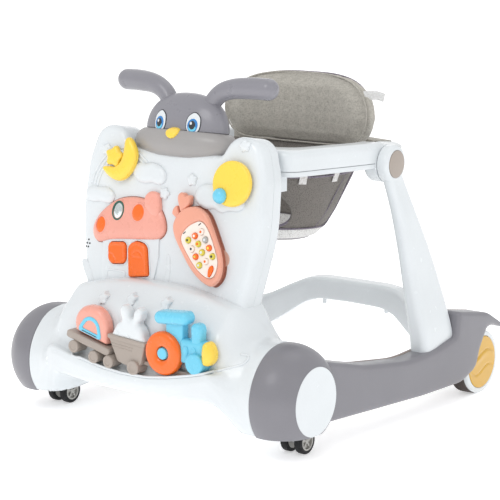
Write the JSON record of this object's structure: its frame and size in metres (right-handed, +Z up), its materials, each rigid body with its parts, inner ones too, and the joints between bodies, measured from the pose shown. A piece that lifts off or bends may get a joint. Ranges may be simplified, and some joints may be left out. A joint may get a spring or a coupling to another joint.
{
  "type": "baby walker",
  "caption": "Wheeled baby walker and push walker with a folding seat ring, fabric seat and a front toy panel topped by a rabbit head with ear handles.",
  "frame": {"origin": "centre of the footprint of the bounding box, on the floor under the wheels", "axes": "+X to the walker's side that is on the left of the sitting child's view from the front, +Y from the toy panel to the back, +Z up"},
  "size_m": [0.609, 0.7016, 0.585],
  "materials": {
    "white_shell": "gloss",
    "grey_shell": "satin",
    "muzzle_grey": "satin",
    "taupe": "matte",
    "pink": "gloss",
    "salmon": "gloss",
    "orange": "gloss",
    "yellow": "gloss",
    "golden": "gloss",
    "sky_blue": "gloss",
    "mirror": "polished",
    "eye_print": "gloss",
    "silver_hub": "satin",
    "black_tyre": "matte",
    "brown_tyre": "matte",
    "rim_white": "gloss",
    "steel": "brushed",
    "pale_face": "matte",
    "keypad": "matte",
    "board_green": "matte",
    "cell": "satin",
    "speaker_black": "matte",
    "pad_fabric": "woven",
    "sling_fabric": "mesh"
  },
  "bodies": {
    "root": {"panel_front_shell": "white_shell", "panel_rear_shell": "white_shell", "battery_cover": "white_shell", "battery_cells": "cell", "circuit_board": "board_green", "speaker": "speaker_black", "panel_screws": "steel", "house_roof": "pink", "roof_windows": "orange", "roof_mirror": "mirror", "toy_axles": "white_shell", "rabbit_head_shell": "grey_shell", "rabbit_muzzle": "muzzle_grey", "rabbit_eyes": "eye_print", "rabbit_nose": "yellow", "pod_covers": "white_shell", "bumper_shell": "white_shell", "rear_axles": "steel", "hinge_caps": "taupe", "hinge_pins": "steel", "rear_crossbar": "white_shell", "dome_wagon": "pink", "dome_wagon_arch": "sky_blue", "wagon_carts": "taupe", "rabbit_figure": "white_shell", "loco_nose": "yellow", "loco_body": "sky_blue", "left_ear_handle": "grey_shell", "left_pod_shell": "grey_shell", "left_base_rail": "grey_shell", "left_rear_upright": "white_shell", "right_ear_handle": "grey_shell", "right_pod_shell": "grey_shell", "right_base_rail": "grey_shell", "right_rear_upright": "white_shell"},
    "seat": {"seat_frame_top": "white_shell", "seat_frame_bottom": "white_shell", "seat_sling": "sling_fabric", "backrest_pad": "pad_fabric"},
    "moon": {"moon_spinner": "yellow"},
    "sun": {"sun_dial": "yellow", "sun_knob": "sky_blue"},
    "donut": {"donut_wheel": "orange"},
    "window": {"window_button": "orange"},
    "door": {"door_button": "orange"},
    "phone": {"phone_body": "salmon", "phone_face": "pale_face"},
    "phone_keys": {"phone_keypad": "keypad"},
    "left_caster": {"left_caster_fork": "white_shell"},
    "left_caster_wheels": {"left_caster_hubs": "silver_hub", "left_caster_tyres": "black_tyre"},
    "left_rear_wheel": {"left_rear_tyre": "brown_tyre", "left_rear_rim": "rim_white", "left_rear_hub_cap": "golden"},
    "right_caster": {"right_caster_fork": "white_shell"},
    "right_caster_wheels": {"right_caster_hubs": "silver_hub", "right_caster_tyres": "black_tyre"},
    "right_rear_wheel": {"right_rear_tyre": "brown_tyre", "right_rear_rim": "rim_white", "right_rear_hub_cap": "golden"}
  },
  "joints": [
    {"name": "seat_fold", "type": "hinge", "parent": "root", "child": "seat", "pos_m": [0, 0.05619, 0.434], "axis": [-1, 0, 0], "range_deg": [0, 70]},
    {"name": "moon_swing", "type": "hinge", "parent": "root", "child": "moon", "pos_m": [-0.112, -0.23974, 0.44743], "axis": [0, -0.9897, 0.1435], "range_deg": [-35, 35]},
    {"name": "sun_turn", "type": "hinge", "parent": "root", "child": "sun", "pos_m": [0.132, -0.24308, 0.42443], "axis": [0, -0.9897, 0.1435], "continuous": true},
    {"name": "donut_turn", "type": "hinge", "parent": "root", "child": "donut", "pos_m": [0.0735, -0.33981, 0.1575], "axis": [0, -1, 0], "continuous": true},
    {"name": "window_press", "type": "slide", "parent": "root", "child": "window", "axis": [0, 0.9897, -0.1435], "range_m": [0, 0.003], "stiffness_N_per_m": 400, "springref_m": -0.0005},
    {"name": "door_press", "type": "slide", "parent": "root", "child": "door", "axis": [0, 0.9897, -0.1435], "range_m": [0, 0.003], "stiffness_N_per_m": 400, "springref_m": -0.0005},
    {"name": "phone_lift", "type": "slide", "parent": "root", "child": "phone", "axis": [0, -0.9897, 0.1435], "range_m": [0, 0.06]},
    {"name": "keypad_press", "type": "slide", "parent": "phone", "child": "phone_keys", "axis": [0, 0.9897, -0.1435], "range_m": [0, 0.0012], "stiffness_N_per_m": 500, "springref_m": -0.0004},
    {"name": "left_caster_swivel", "type": "hinge", "parent": "root", "child": "left_caster", "pos_m": [-0.25, -0.23881, 0.046], "axis": [0, 0, 1], "continuous": true},
    {"name": "left_caster_roll", "type": "hinge", "parent": "left_caster", "child": "left_caster_wheels", "pos_m": [-0.25, -0.22281, 0.021], "axis": [1, 0, 0], "continuous": true},
    {"name": "left_rear_roll", "type": "hinge", "parent": "root", "child": "left_rear_wheel", "pos_m": [-0.283, 0.28219, 0.058], "axis": [1, 0, 0], "continuous": true},
    {"name": "right_caster_swivel", "type": "hinge", "parent": "root", "child": "right_caster", "pos_m": [0.25, -0.23881, 0.046], "axis": [0, 0, 1], "continuous": true},
    {"name": "right_caster_roll", "type": "hinge", "parent": "right_caster", "child": "right_caster_wheels", "pos_m": [0.25, -0.22281, 0.021], "axis": [1, 0, 0], "continuous": true},
    {"name": "right_rear_roll", "type": "hinge", "parent": "root", "child": "right_rear_wheel", "pos_m": [0.283, 0.28219, 0.058], "axis": [1, 0, 0], "continuous": true}
  ]
}
